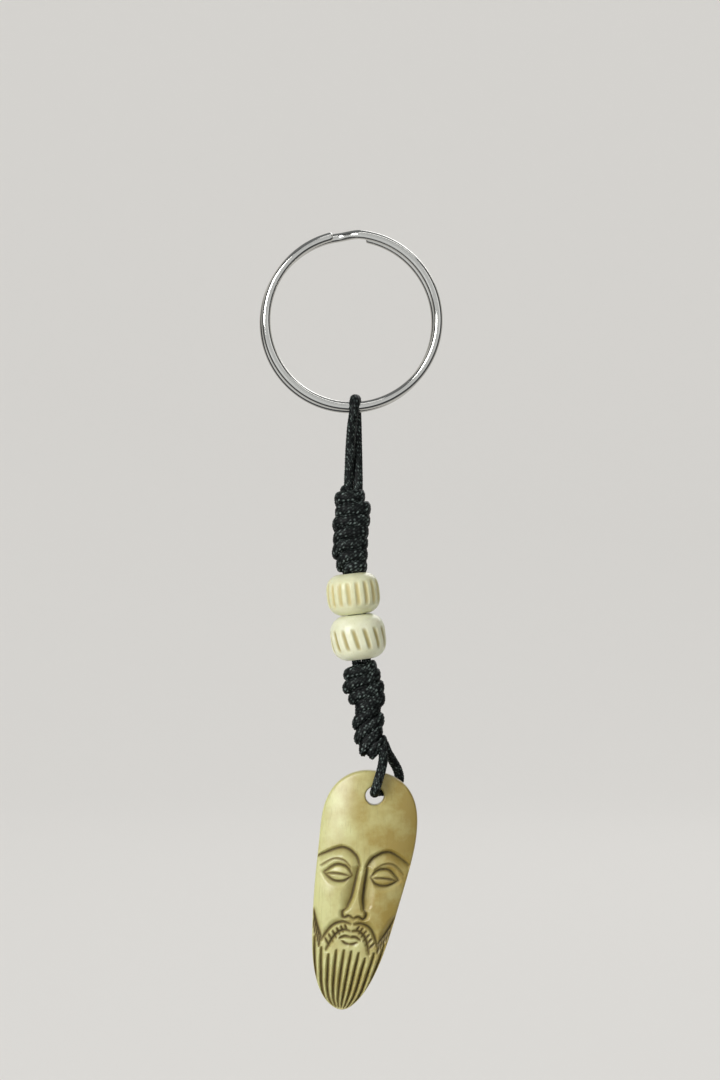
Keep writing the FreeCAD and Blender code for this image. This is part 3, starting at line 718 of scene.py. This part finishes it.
def fluted_bead(key, bead):
    """A turned bead with its flutes cut in, placed on its own spin axis."""
    radius, height = bead_outline(bead)
    angle = np.linspace(0, 2 * math.pi, BEAD_SEGMENTS, endpoint=False)[None, :]
    spacing = 2 * math.pi / bead["flutes"]
    belly = bead["radius"] * MM
    lean = math.tan(math.radians(bead["slant"])) * height[:, None] / belly
    nearest = np.abs((angle + lean + spacing / 2) % spacing - spacing / 2) * belly
    from_middle = np.abs(height[:, None] - bead["flute_middle"] * MM)
    reach = from_middle / (bead["length"] / 2 * MM * bead["flute_share"])
    fade = np.clip((1 - reach) / FLUTE_FADE, 0, 1)
    on_skin = (radius > bead["face"] * MM * 1.05)[:, None]
    slope = np.clip(1 - nearest / FLUTE_HALF_WIDTH, 0, 1)
    cut = slope * (2 - slope) * fade * (2 - fade) * on_skin
    ring_radius = radius[:, None] - cut * FLUTE_DEPTH
    points = np.stack(
        [
            ring_radius * np.cos(angle),
            ring_radius * np.sin(angle),
            np.broadcast_to(height[:, None], ring_radius.shape),
        ],
        axis=-1,
    ).reshape(-1, 3)
    rows = len(radius)
    row, column = np.meshgrid(np.arange(rows), np.arange(BEAD_SEGMENTS), indexing="ij")
    beside = (column + 1) % BEAD_SEGMENTS
    below = (row + 1) % rows
    faces = np.stack(
        [
            row * BEAD_SEGMENTS + column,
            below * BEAD_SEGMENTS + column,
            below * BEAD_SEGMENTS + beside,
            row * BEAD_SEGMENTS + beside,
        ],
        axis=-1,
    ).reshape(-1, 4)
    material = bone(
        f"{key}_bead_polished_bone", bead["pale"], bead["warm"], bead["wash"], bead["wash"],
        grain_turn=math.radians(6.8), mottle_size=2.2 * MM, gloss=0.34,
    )
    piece = mesh_piece(f"{key}_bone_bead", points, faces.tolist(), material)
    attribute = piece.data.attributes.new("cut_depth", "FLOAT", "POINT")
    attribute.data.foreach_set("value", cut.ravel().astype(np.float32) * 0.5)
    joint = next(j for j in frame["joints"] if j["name"] == bead["joint"])
    lean_turn = Vector((0, 0, 1)).rotation_difference(Vector(joint["axis"]))
    piece.data.transform(Matrix.Translation(joint["pos_m"]) @ lean_turn.to_matrix().to_4x4())
    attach(piece, bead["body"])
    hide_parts(bead["node"])


for key, bead in BEADS.items():
    fluted_bead(key, bead)

# --- lower knot -----------------------------------------------------------------------------
# Under the beads the ends are wound back over the cord that carries the plaque. The turns lie
# deep against the bead and grow shallow towards the foot.

LOWER_LEFT = [
    (0.8, -57.4), (-0.6, -58.6), (-0.75, -60.8), (0.2, -62.6), (1.35, -64.8), (0.85, -66.9),
    (1.15, -69.3), (2.0, -71.3), (3.4, -71.95),
]
LOWER_RIGHT = [
    (3.7, -57.3), (4.35, -58.6), (4.95, -60.6), (5.1, -62.4), (4.4, -63.9), (5.0, -65.9),
    (4.75, -67.8), (5.5, -69.6),
]
LOWER_TUCK = [(2.2, 0.8, -57.6), (4.2, 0.0, -71.0)]

knot("lower_knot", "lower_strand", LOWER_LEFT, LOWER_RIGHT, LOWER_TUCK, roll=1.35, taper=0.7)

# --- plaque loop ----------------------------------------------------------------------------
# The cord's last loop comes out of the knot, passes through the plaque from the front and
# goes back up behind its edge.

PLAQUE_LOOP_ROUTE = [
    (5.0, -0.2, -69.8),
    (5.45, -0.9, -71.6),
    (5.2, -2.4, -73.6),
    (4.45, -3.0, -76.0),
    (3.85, -2.7, -78.1),
    (4.0, 2.9, -78.1),
    (6.6, 3.1, -78.0),
    (8.2, 3.05, -76.6),
    (7.9, 2.95, -74.6),
    (6.9, 2.0, -72.8),
    (5.9, 0.6, -71.2),
    (5.4, 0.1, -69.6),
]
LOOP_OUTWARD = (0.3, -1.0, -0.5)

line = laid_line("plaque_loop_route", PLAQUE_LOOP_ROUTE)
plaque_loop = braided_cord("plaque_loop_cord", line, np.tile(LOOP_OUTWARD, (len(line), 1)))
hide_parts("plaque_cord")
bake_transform(plaque_loop)

# --- carved plaque --------------------------------------------------------------------------
# A tongue of cattle bone, sawn, domed and rubbed smooth, with a face cut into its front by a
# V tool. Tea-brown stain sits in the cuts, and handling has yellowed the rest unevenly.

PLAQUE_LEAN = math.radians(6.2)
PLAQUE_GRID = 0.115
HOLE_CENTRE = (3.93, -78.55)
HOLE_RADIUS = 1.525
DOME_CROSS_RADIUS = 15.0
DOME_LONG_RADIUS = 150.0
DOME_CREST = (-0.3, -13.0)
CREST_Y = -2.1
RIM_WIDTH = 0.62
RIM_FADE = 0.25
HOLE_MARGIN = 0.34
HOLE_FADE = 0.15
FRONT_DEPTH = 0.9
PLAQUE_BANDS = 80
# walls wider than this are bevels, and the dark stain reaches this far from a cut's bottom
BEVEL_FROM = 0.6
STAIN_REACH = 0.34
BONE_PALE = "#CCCB90"
BONE_WARM = "#A48F48"
BONE_WASH = "#7D6E38"
BONE_STAIN = "#352818"


def fine_copy(node_name):
    """The CAD node's mesh rebuilt from small even faces."""
    source = frame["nodes"][node_name]
    mesh = source.data.copy()
    mesh.transform(Matrix.Scale(1 / MM, 4))
    carrier = bpy.data.objects.new("fine_copy", mesh)
    bpy.context.scene.collection.objects.link(carrier)
    remesh = carrier.modifiers.new("even_faces", "REMESH")
    remesh.mode = "VOXEL"
    remesh.voxel_size = PLAQUE_GRID
    depsgraph = bpy.context.evaluated_depsgraph_get()
    fine = bpy.data.meshes.new_from_object(carrier.evaluated_get(depsgraph))
    bpy.data.objects.remove(carrier)
    return fine


# Cuts of one half of the face, from its middle outwards or downwards: points in shares of the
# plaque's half width and of its length from the crown, the width of the cut's left and right
# walls seen along it, and its depth, in millimetres. A wide wall is a bevel into the cut.
FACE_CUTS = [
    # brow with the socket's bevel under it, the fold, the lids and the lowered lid's edge
    ([(0.07, 0.396), (0.20, 0.352), (0.50, 0.328), (0.97, 0.374)], 0.62, 2.2, 1.05),
    ([(0.26, 0.404), (0.44, 0.379), (0.66, 0.379), (0.90, 0.414)], 0.40, 0.45, 0.28),
    ([(0.20, 0.438), (0.34, 0.406), (0.58, 0.402), (0.82, 0.440)], 0.80, 0.42, 0.66),
    ([(0.20, 0.438), (0.36, 0.464), (0.60, 0.466), (0.82, 0.440)], 0.42, 1.10, 0.66),
    ([(0.27, 0.441), (0.42, 0.437), (0.58, 0.437), (0.75, 0.442)], 0.36, 0.40, 0.38),
    # side of the nose, its wing and its underside
    ([(0.09, 0.400), (0.105, 0.47), (0.13, 0.53), (0.20, 0.575)], 2.3, 0.78, 1.35),
    ([(0.20, 0.575), (0.28, 0.592), (0.24, 0.614), (0.12, 0.606), (0.0, 0.615)], 0.95, 0.46, 0.80),
    # moustache, above and below
    ([(0.05, 0.638), (0.26, 0.634), (0.50, 0.656), (0.76, 0.722)], 1.05, 0.50, 0.78),
    ([(0.03, 0.668), (0.20, 0.666), (0.40, 0.692), (0.60, 0.756)], 0.50, 0.85, 0.70),
    # mouth and lower lip
    ([(0.0, 0.693), (0.14, 0.691), (0.27, 0.701)], 0.46, 0.56, 0.62),
    ([(0.0, 0.722), (0.10, 0.720), (0.19, 0.712)], 0.40, 0.90, 0.42),
    # beard's edge on the cheek
    ([(0.99, 0.595), (0.89, 0.655), (0.74, 0.716)], 0.56, 1.10, 0.74),
]
# Hollows and swellings worked into the ground: middle, half width and half height, depth.
FACE_GROUND = [
    ((0.50, 0.425), (3.2, 2.2), 0.30),
    ((0.50, 0.436), (1.9, 1.05), -0.42),
    ((0.0, 0.52), (1.5, 3.6), -0.22),
    ((0.17, 0.596), (0.9, 0.8), -0.18),
    ((0.30, 0.540), (1.6, 3.6), 0.20),
    ((0.62, 0.545), (2.6, 3.2), -0.16),
    ((0.0, 0.706), (1.7, 0.7), -0.16),
]
MOUSTACHE_NOTCHES = 6
CHEEK_NOTCHES = 5
BEARD_CUTS = [(0.10, 0.752), (0.31, 0.756), (0.52, 0.776), (0.73, 0.752), (0.92, 0.712)]


def spline_points(points, steps=14):
    """A smooth line through a few points."""
    padded = [points[0], *points, points[-1]]
    made = []
    for before, start, end, after in zip(padded, padded[1:], padded[2:], padded[3:]):
        p0, p1, p2, p3 = (np.array(p, float) for p in (before, start, end, after))
        for t in np.linspace(0, 1, steps, endpoint=False):
            made.append(
                0.5 * (2 * p1 + (p2 - p0) * t + (2 * p0 - 5 * p1 + 4 * p2 - p3) * t**2
                       + (3 * p1 - p0 - 3 * p2 + p3) * t**3)
            )
    made.append(np.array(points[-1], float))
    return np.array(made)


def face_cuts():
    """Every cut of the face: both halves, with the moustache's notches and the beard."""
    cuts = list(FACE_CUTS)
    for k in range(MOUSTACHE_NOTCHES):
        share = (k + 0.6) / MOUSTACHE_NOTCHES
        top = (0.12 + 0.58 * share, 0.640 + 0.074 * share**1.5)
        foot = (0.07 + 0.48 * share, 0.664 + 0.084 * share**1.5)
        cuts.append(([top, foot], 0.42, 0.30, 0.40))
    for across, start in BEARD_CUTS:
        line = [(across, start), (across * 1.06, 0.87), (across * 1.3, 0.99)]
        cuts.append((line, 0.52, 0.44, 0.80))
    for k in range(CHEEK_NOTCHES):
        share = (k + 0.5) / CHEEK_NOTCHES
        start = (0.97 - 0.21 * share, 0.620 + 0.090 * share)
        cuts.append(([start, (start[0] + 0.03, start[1] + 0.048)], 0.42, 0.30, 0.40))
    both = []
    for points, left, right, depth in cuts:
        both.append((points, left, right, depth))
        both.append(([(-u, v) for u, v in points], right, left, depth))
    return both


def nearest_on_line(points, line):
    """For each point: its distance to a line, whether it lies left of it, and how far along."""
    best = np.full(len(points), 1e9)
    is_left = np.zeros(len(points), bool)
    where = np.zeros(len(points))
    count = len(line) - 1
    for k in range(count):
        start, step = line[k], line[k + 1] - line[k]
        offset = points - start
        share = np.clip((offset @ step) / (step @ step + 1e-12), 0, 1)
        gap = np.linalg.norm(offset - share[:, None] * step, axis=1)
        nearer = gap < best
        best[nearer] = gap[nearer]
        is_left[nearer] = (step[0] * offset[:, 1] - step[1] * offset[:, 0])[nearer] > 0
        where[nearer] = (k + share[nearer]) / count
    return best, is_left, where


def vertex_vectors(collection, name, count):
    """One vector of each vertex as an array."""
    values = np.zeros(count * 3)
    collection.foreach_get(name, values)
    return values.reshape(-1, 3)


def domed_front(flat, hole):
    """How far fore or aft the uncut front stands at places on the plaque."""
    across = flat[:, 0] - hole[0] - DOME_CREST[0]
    along = flat[:, 1] - hole[1] - DOME_CREST[1]
    bow = DOME_LONG_RADIUS - DOME_CROSS_RADIUS
    bow = bow + np.sqrt(np.clip(DOME_CROSS_RADIUS**2 - across**2, 0, None))
    return DOME_LONG_RADIUS + CREST_Y - np.sqrt(bow**2 - along**2)


def carve(flat, on_plaque):
    """The depth of the carving, and of the stain that it holds, at places on the front."""
    depth = np.zeros(len(flat))
    stain = np.zeros(len(flat))
    ground = np.zeros(len(flat))
    for middle, reach, deep in FACE_GROUND:
        for side in ((-1, 1) if middle[0] else (1,)):
            centre = on_plaque(np.array([(side * middle[0], middle[1])]))
            ground += deep * np.exp(-(((flat - centre) / reach) ** 2).sum(axis=1))
    for points, left, right, deep in face_cuts():
        line = on_plaque(spline_points(points))
        near, is_left, where = nearest_on_line(flat, line)
        swell = 0.5 + 0.5 * np.sqrt(np.sin(math.pi * np.clip(where, 0.02, 0.98)))
        wall = np.where(is_left, left, right) * swell
        slope = np.clip(1 - near / wall, 0, 1)
        bevel = np.where(wall > BEVEL_FROM, slope * slope * (1.6 - 0.6 * slope), slope)
        depth = np.maximum(depth, deep * swell * bevel)
        bottom = np.clip(1 - near / STAIN_REACH, 0, 1)
        stain = np.maximum(stain, (0.4 * bevel**2 + 0.6 * bottom) * swell * min(1, deep / 0.4))
    return depth + ground, stain


def carved_plaque():
    """The plaque with its front made smooth again and the face cut in."""
    mesh = fine_copy("plaque")
    count = len(mesh.vertices)
    place = vertex_vectors(mesh.vertices, "co", count)
    normal = vertex_vectors(mesh.vertices, "normal", count)
    turn = np.array([[math.cos(PLAQUE_LEAN), -math.sin(PLAQUE_LEAN)],
                     [math.sin(PLAQUE_LEAN), math.cos(PLAQUE_LEAN)]])
    flat = place[:, [0, 2]] @ turn.T
    hole = turn @ np.array(HOLE_CENTRE)
    top, foot = flat[:, 1].max(), flat[:, 1].min()
    length = top - foot
    levels = np.linspace(foot, top, PLAQUE_BANDS + 1)
    band = ((flat[:, 1] - foot) / length * PLAQUE_BANDS).astype(int)
    band = np.clip(band, 0, PLAQUE_BANDS - 1)
    left = np.array([flat[band == k, 0].min() for k in range(PLAQUE_BANDS)])
    right = np.array([flat[band == k, 0].max() for k in range(PLAQUE_BANDS)])
    middles = (levels[1:] + levels[:-1]) / 2

    def on_plaque(points):
        z = top - points[:, 1] * length
        low = np.interp(z, middles, left)
        high = np.interp(z, middles, right)
        return np.column_stack([(low + high) / 2 + points[:, 0] * (high - low) / 2, z])

    dome = domed_front(flat, hole)
    front = np.flatnonzero(place[:, 1] < dome + FRONT_DEPTH)
    rim = np.concatenate(
        [np.column_stack([left, middles]), np.column_stack([right, middles])[::-1]]
    )
    rim = np.concatenate([rim, rim[:1]])
    from_rim = nearest_on_line(flat[front], rim)[0]
    from_hole = np.linalg.norm(flat[front] - hole, axis=1)
    inside = np.minimum(
        np.clip((from_rim - RIM_WIDTH) / RIM_FADE, 0, 1),
        np.clip((from_hole - HOLE_RADIUS - HOLE_MARGIN) / HOLE_FADE, 0, 1),
    )
    facing = inside + (1 - inside) * np.clip(-normal[front, 1] * 1.6 - 0.3, 0, 1)
    depth, stain = carve(flat[front], on_plaque)
    smooth = inside * dome[front] + (1 - inside) * place[front, 1]
    place[front, 1] = smooth + depth * facing
    mesh.vertices.foreach_set("co", (place * MM).ravel())
    cut = np.zeros(count, np.float32)
    cut[front] = np.clip(stain, 0, 1) * facing
    attribute = mesh.attributes.new("cut_depth", "FLOAT", "POINT")
    attribute.data.foreach_set("value", cut)
    mesh.polygons.foreach_set("use_smooth", [True] * len(mesh.polygons))
    mesh.materials.clear()
    # the plaque's side towards +X is darkened: partly painted shade away from the key lamp, partly a
    # warm handling stain
    mesh.materials.append(
        bone(
            "aged_carved_bone", BONE_PALE, BONE_WARM, BONE_WASH, BONE_STAIN,
            grain_turn=PLAQUE_LEAN, mottle_size=4.5 * MM, gloss=0.3, patina_and_shade=0.03,
        )
    )
    piece = bpy.data.objects.new("carved_bone_plaque", mesh)
    bpy.context.scene.collection.objects.link(piece)
    return piece


carving = carved_plaque()
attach(carving, "carving")
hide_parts("plaque")

# --- studio ---------------------------------------------------------------------------------
# A pale seamless bowl stands well below and around the hanging keychain, so that every side is
# seen against the same plain ground.

FLOOR_Z = -0.16
BOWL_RADIUS = 1.6
BOWL_CURVE = 0.5
BOWL_STEPS = 16
BOWL_SEGMENTS = 96
WALL_TOP = 1.4
BACKDROP = "#E2E0DC"
BACKDROP_GLOW = 0.75
# what the nickel mirrors from behind the camera, beside it and towards the wall, by the share
# of the way from the front of the room to its back: a painted reflection, since the bowl glows in
# these shades only to glossy rays
MIRRORED_ROOM = [(0.07, "#F4F6F8"), (0.15, "#3E4043"), (0.38, "#46484B"), (0.60, BACKDROP)]
# the painted room's pale front reaches further round towards upper right and lower left
FRONT_REACH_WAY = (0.82, 0.0, 0.57)
FRONT_REACH = 0.42


def studio_bowl():
    """A round floor that sweeps up into a wall."""
    profile = [(0.0, FLOOR_Z), (BOWL_RADIUS - BOWL_CURVE, FLOOR_Z)]
    for k in range(1, BOWL_STEPS + 1):
        angle = math.pi / 2 * k / BOWL_STEPS
        profile.append(
            (
                BOWL_RADIUS - BOWL_CURVE + BOWL_CURVE * math.sin(angle),
                FLOOR_Z + BOWL_CURVE * (1 - math.cos(angle)),
            )
        )
    profile.append((BOWL_RADIUS, WALL_TOP))
    segments = BOWL_SEGMENTS
    angle = np.linspace(0, 2 * math.pi, segments, endpoint=False)
    points = np.array(
        [(r * math.cos(a), r * math.sin(a), z) for r, z in profile for a in angle]
    )
    faces = [
        (
            row * segments + k,
            row * segments + (k + 1) % segments,
            (row + 1) * segments + (k + 1) % segments,
            (row + 1) * segments + k,
        )
        for row in range(len(profile) - 1)
        for k in range(segments)
    ]
    material, tree, surface = new_material("pale_matt_paper")
    surface.inputs["Roughness"].default_value = 0.9
    path = add_node(tree, "ShaderNodeLightPath").outputs
    seen = path["Is Camera Ray"]
    for kind in ("Is Glossy Ray", "Is Transmission Ray"):
        seen = add_node(
            tree, "ShaderNodeMath", {0: seen, 1: path[kind]}, operation="MAXIMUM"
        ).outputs["Value"]
    share = add_node(
        tree, "ShaderNodeMath", {0: seen, 1: BACKDROP_GLOW}, operation="MULTIPLY"
    ).outputs["Value"]
    place = add_node(tree, "ShaderNodeTexCoord").outputs["Object"]
    direction = add_node(
        tree, "ShaderNodeVectorMath", {0: place}, operation="NORMALIZE"
    ).outputs["Vector"]
    fore = add_node(tree, "ShaderNodeSeparateXYZ", {"Vector": direction}).outputs["Y"]
    across = add_node(
        tree, "ShaderNodeVectorMath", {0: direction, 1: FRONT_REACH_WAY}, operation="DOT_PRODUCT"
    ).outputs["Value"]
    either_way = add_node(tree, "ShaderNodeMath", {0: across}, operation="ABSOLUTE").outputs["Value"]
    from_front = add_node(
        tree,
        "ShaderNodeMath",
        {0: either_way, 1: -FRONT_REACH, 2: fore},
        operation="MULTIPLY_ADD",
    ).outputs["Value"]
    way = add_node(
        tree, "ShaderNodeMapRange", {"Value": from_front, "From Min": -1.0}
    ).outputs["Result"]
    room = add_node(tree, "ShaderNodeValToRGB", {"Fac": way})
    stops = room.color_ramp.elements
    while len(stops) < len(MIRRORED_ROOM):
        stops.new(0.5)
    for stop, (share_back, shade) in zip(stops, MIRRORED_ROOM):
        stop.position = share_back
        stop.color = linear(shade)
    # a painted reflection: glossy rays see the bowl glow in the room's light and dark shades
    colour = add_node(
        tree,
        "ShaderNodeMix",
        {0: path["Is Glossy Ray"], 6: linear(BACKDROP), 7: room.outputs["Color"]},
        data_type="RGBA",
    ).outputs[2]
    tree.links.new(colour, surface.inputs["Base Color"])
    glow = add_node(tree, "ShaderNodeEmission", {"Color": colour, "Strength": 1.0})
    both = add_node(
        tree, "ShaderNodeMixShader",
        {0: share, 1: surface.outputs["BSDF"], 2: glow.outputs["Emission"]},
    )
    tree.links.new(both.outputs["Shader"], tree.nodes["Material Output"].inputs["Surface"])
    return mesh_piece("studio_bowl", points, faces, material)


studio_bowl()


def area_lamp(name, place, target, wide, high, power):
    """A soft lamp that faces a point."""
    data = bpy.data.lights.new(name, "AREA")
    data.shape = "RECTANGLE"
    data.size = wide
    data.size_y = high
    data.energy = power
    lamp = bpy.data.objects.new(name, data)
    lamp.location = place
    lamp.visible_camera = False
    lamp.rotation_euler = (Vector(target) - Vector(place)).to_track_quat("-Z", "Y").to_euler()
    bpy.context.scene.collection.objects.link(lamp)


MIDDLE = (0.0015, 0.0, -0.045)
area_lamp("key_lamp", (-0.66, -0.74, 0.27), MIDDLE, 0.45, 0.5, 8.0)
area_lamp("fill_lamp", (0.8, -0.7, 0.27), MIDDLE, 0.2, 0.7, 0.35)
area_lamp("top_strip", (0.25, -0.5, 0.9), MIDDLE, 1.3, 0.16, 1.8)
area_lamp("rear_lamp", (0.35, 0.9, 0.6), MIDDLE, 0.6, 0.6, 3.5)

ROOM_LIGHT = "#E8ECF0"
ROOM_STRENGTH = 0.28
world = bpy.data.worlds.new("studio")
world.use_nodes = True
world.node_tree.nodes["Background"].inputs["Color"].default_value = linear(ROOM_LIGHT)
world.node_tree.nodes["Background"].inputs["Strength"].default_value = ROOM_STRENGTH
bpy.context.scene.world = world
bpy.context.scene.view_settings.view_transform = "Standard"

CAMERA_DISTANCE = 0.6
VIEW_HEIGHT = 0.179
VIEW_MIDDLE = (0.0015, -0.0362)
camera_data = bpy.data.cameras.new("camera")
camera_data.sensor_width = 36.0
camera_data.lens = camera_data.sensor_width * CAMERA_DISTANCE / VIEW_HEIGHT
camera = bpy.data.objects.new("camera", camera_data)
camera.location = (VIEW_MIDDLE[0], -CAMERA_DISTANCE, VIEW_MIDDLE[1])
camera.rotation_euler = (math.radians(90), 0, 0)
camera_data.clip_start = 0.05
camera_data.clip_end = 10.0
bpy.context.scene.collection.objects.link(camera)
bpy.context.scene.camera = camera
